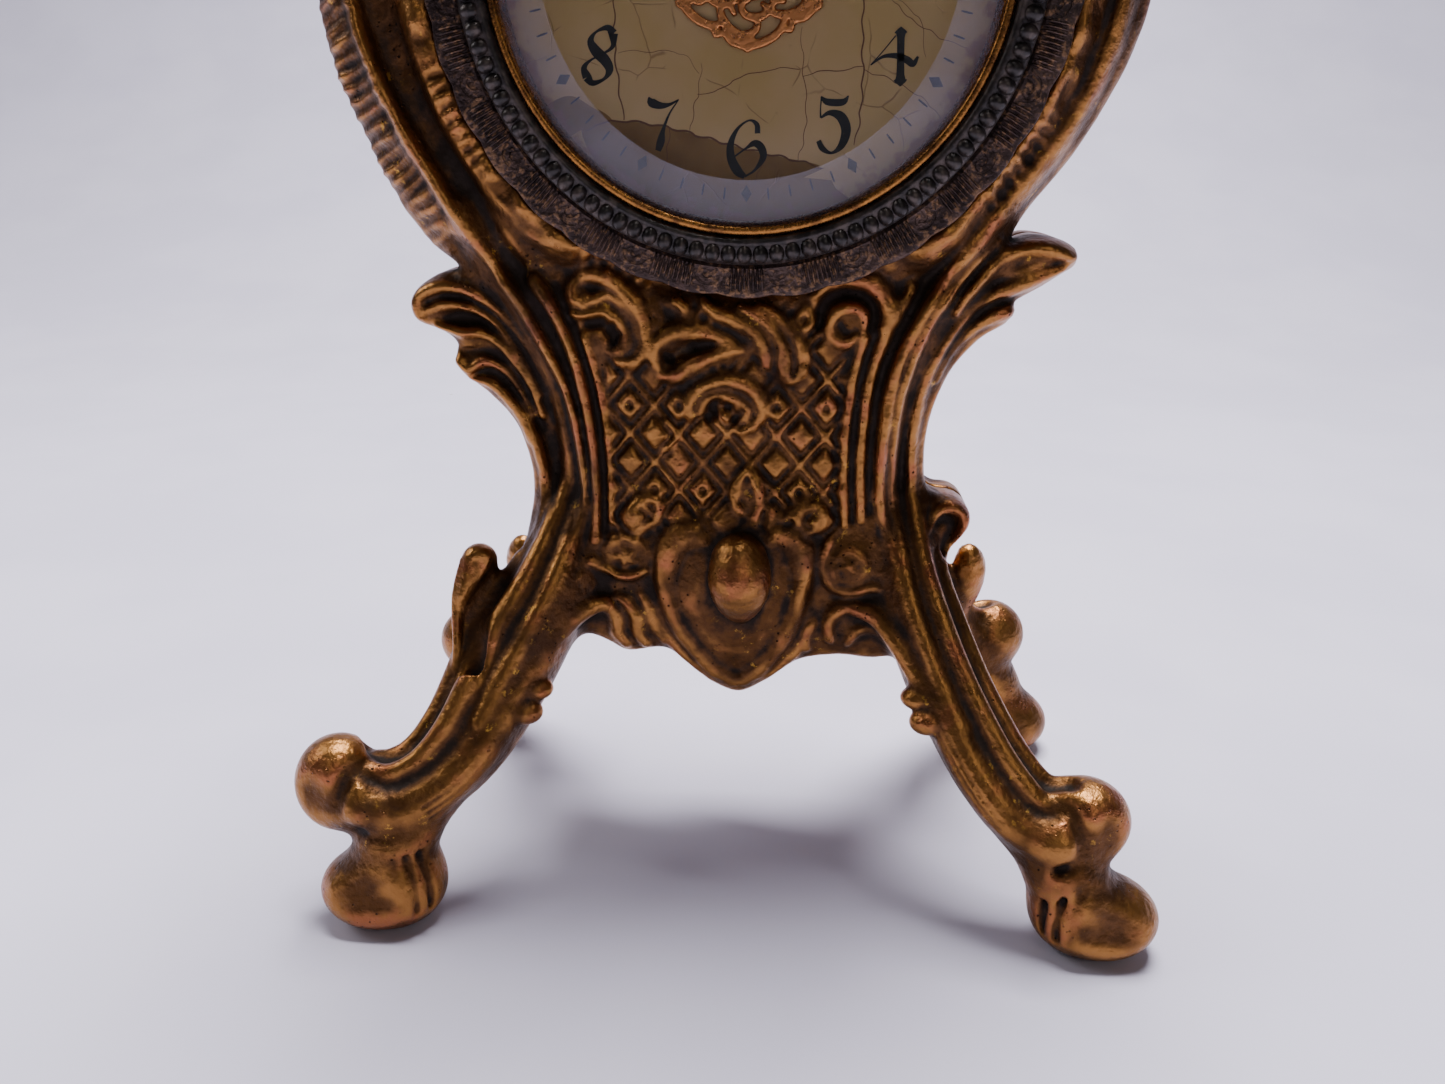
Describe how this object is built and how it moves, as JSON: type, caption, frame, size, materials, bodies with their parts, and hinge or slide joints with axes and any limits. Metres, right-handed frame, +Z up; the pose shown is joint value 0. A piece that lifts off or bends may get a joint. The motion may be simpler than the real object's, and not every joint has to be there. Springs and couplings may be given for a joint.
{
  "type": "mantel clock",
  "caption": "Small ornate gilt mantel clock on splayed scroll legs, with a round glazed dial, a wind-up movement in a drum, and a key at the back.",
  "frame": {"origin": "on the table, under the middle of the dial, on the plane where the two castings meet", "axes": "+Z up, the dial faces -Y, +X to the right seen from the front"},
  "size_m": [0.1024, 0.0583, 0.1699],
  "materials": {
    "gilt_spelter": "cast, gilded and worn, with a dark brown patina in the hollows",
    "dark_bronze": "stamped, dark brown lacquer",
    "bright_gilt": "stamped, bright gilt",
    "brass": "machined, lightly tarnished",
    "steel": "turned and polished",
    "blued_steel": "blued",
    "dial_enamel": "cream, crazed with fine brown cracks",
    "dial_tin": "dull tinned plate",
    "bevelled_glass": "clear, with a ground bevel"
  },
  "bodies": {
    "case": {"case_front": "gilt_spelter", "case_back": "gilt_spelter", "case_screw_top": "brass", "case_screw_left": "brass", "case_screw_right": "brass", "drum_clip_left": "brass", "drum_clip_right": "brass", "clip_screw_left": "steel", "clip_screw_right": "steel", "dial_surround": "dark_bronze", "bezel": "dark_bronze", "glass_ring": "bright_gilt", "glass": "bevelled_glass", "reflector_ring": "bright_gilt", "drum": "brass", "drum_cover": "brass", "dial": "dial_enamel", "dial_plate": "dial_tin", "dial_ornament": "bright_gilt", "front_plate": "brass", "back_plate": "brass", "pillar_1": "brass", "pillar_2": "brass", "pillar_3": "brass", "pillar_nut_1": "brass", "pillar_nut_2": "brass", "pillar_nut_3": "brass", "minute_wheel_post": "steel", "hairspring_stud": "brass", "balance_screw_front": "steel", "balance_screw_back": "steel"},
    "hand_work": {"hand_arbor": "steel", "friction_washer": "brass", "cannon_pinion": "steel", "minute_hand": "blued_steel", "set_knob": "brass"},
    "hour_work": {"hour_wheel": "brass", "hour_hand": "blued_steel"},
    "minute_work": {"minute_wheel": "brass"},
    "centre_arbor": {"centre_wheel": "brass"},
    "third_arbor": {"third_wheel": "brass"},
    "fourth_arbor": {"fourth_wheel": "brass"},
    "escape_arbor": {"escape_wheel": "brass"},
    "great_wheel_body": {"great_wheel": "brass", "click_screw": "steel", "click_spring": "brass"},
    "click_body": {"click": "steel"},
    "winding_body": {"winding_arbor": "steel", "ratchet_wheel": "steel", "winding_key": "brass", "mainspring": "steel"},
    "lever_body": {"pallet_lever": "steel"},
    "balance_body": {"balance_wheel": "brass", "balance_staff": "steel", "impulse_roller": "steel", "hairspring_collet": "brass", "hairspring": "blued_steel"},
    "regulator_body": {"regulator": "steel"}
  },
  "joints": [
    {"name": "set_hands", "type": "hinge", "parent": "case", "child": "hand_work", "pos_m": [0, 0, 0.1064], "axis": [0, 1, 0], "continuous": true},
    {"name": "hour_turn", "type": "hinge", "parent": "case", "child": "hour_work", "pos_m": [0, 0, 0.1064], "axis": [0, 1, 0], "continuous": true},
    {"name": "minute_wheel_turn", "type": "hinge", "parent": "case", "child": "minute_work", "pos_m": [-0.00205, 0, 0.10076], "axis": [0, 1, 0], "continuous": true},
    {"name": "escape_turn", "type": "hinge", "parent": "case", "child": "escape_arbor", "pos_m": [0.00853, 0, 0.11371], "axis": [0, 1, 0], "continuous": true},
    {"name": "fourth_turn", "type": "hinge", "parent": "case", "child": "fourth_arbor", "pos_m": [0.00411, 0, 0.1168], "axis": [0, 1, 0], "continuous": true},
    {"name": "third_turn", "type": "hinge", "parent": "case", "child": "third_arbor", "pos_m": [-0.00148, 0, 0.11477], "axis": [0, 1, 0], "continuous": true},
    {"name": "centre_turn", "type": "hinge", "parent": "case", "child": "centre_arbor", "pos_m": [0, 0, 0.1064], "axis": [0, 1, 0], "continuous": true},
    {"name": "great_turn", "type": "hinge", "parent": "case", "child": "great_wheel_body", "pos_m": [-0.00742, 0, 0.09898], "axis": [0, 1, 0], "continuous": true},
    {"name": "winding_turn", "type": "hinge", "parent": "great_wheel_body", "child": "winding_body", "pos_m": [-0.00742, 0, 0.09898], "axis": [0, 1, 0], "range_deg": [0, 1800], "deforming": ["mainspring"]},
    {"name": "click_lift", "type": "hinge", "parent": "great_wheel_body", "child": "click_body", "pos_m": [-0.01052, 0, 0.10434], "axis": [0, -1, 0], "range_deg": [0, 12], "stiffness_Nm_per_rad": 0.0002},
    {"name": "lever_rock", "type": "hinge", "parent": "case", "child": "lever_body", "pos_m": [0.01113, 0, 0.1092], "axis": [0, 1, 0], "range_deg": [-5, 5]},
    {"name": "balance_swing", "type": "hinge", "parent": "case", "child": "balance_body", "pos_m": [0.01048, 0, 0.10183], "axis": [0, 1, 0], "range_deg": [-220, 220], "stiffness_Nm_per_rad": 0.000002, "deforming": ["hairspring"]},
    {"name": "regulator_turn", "type": "hinge", "parent": "case", "child": "regulator_body", "pos_m": [0.01048, 0, 0.10183], "axis": [0, 1, 0], "range_deg": [-18, 18]}
  ],
  "couplings": [
    {"joint": "hour_turn", "follows": "set_hands", "ratio": 0.083333},
    {"joint": "minute_wheel_turn", "follows": "set_hands", "ratio": -0.33333},
    {"joint": "fourth_turn", "follows": "escape_turn", "ratio": -0.125},
    {"joint": "third_turn", "follows": "escape_turn", "ratio": 0.015625},
    {"joint": "centre_turn", "follows": "escape_turn", "ratio": -0.0020833},
    {"joint": "great_turn", "follows": "escape_turn", "ratio": 0.00034722}
  ]
}
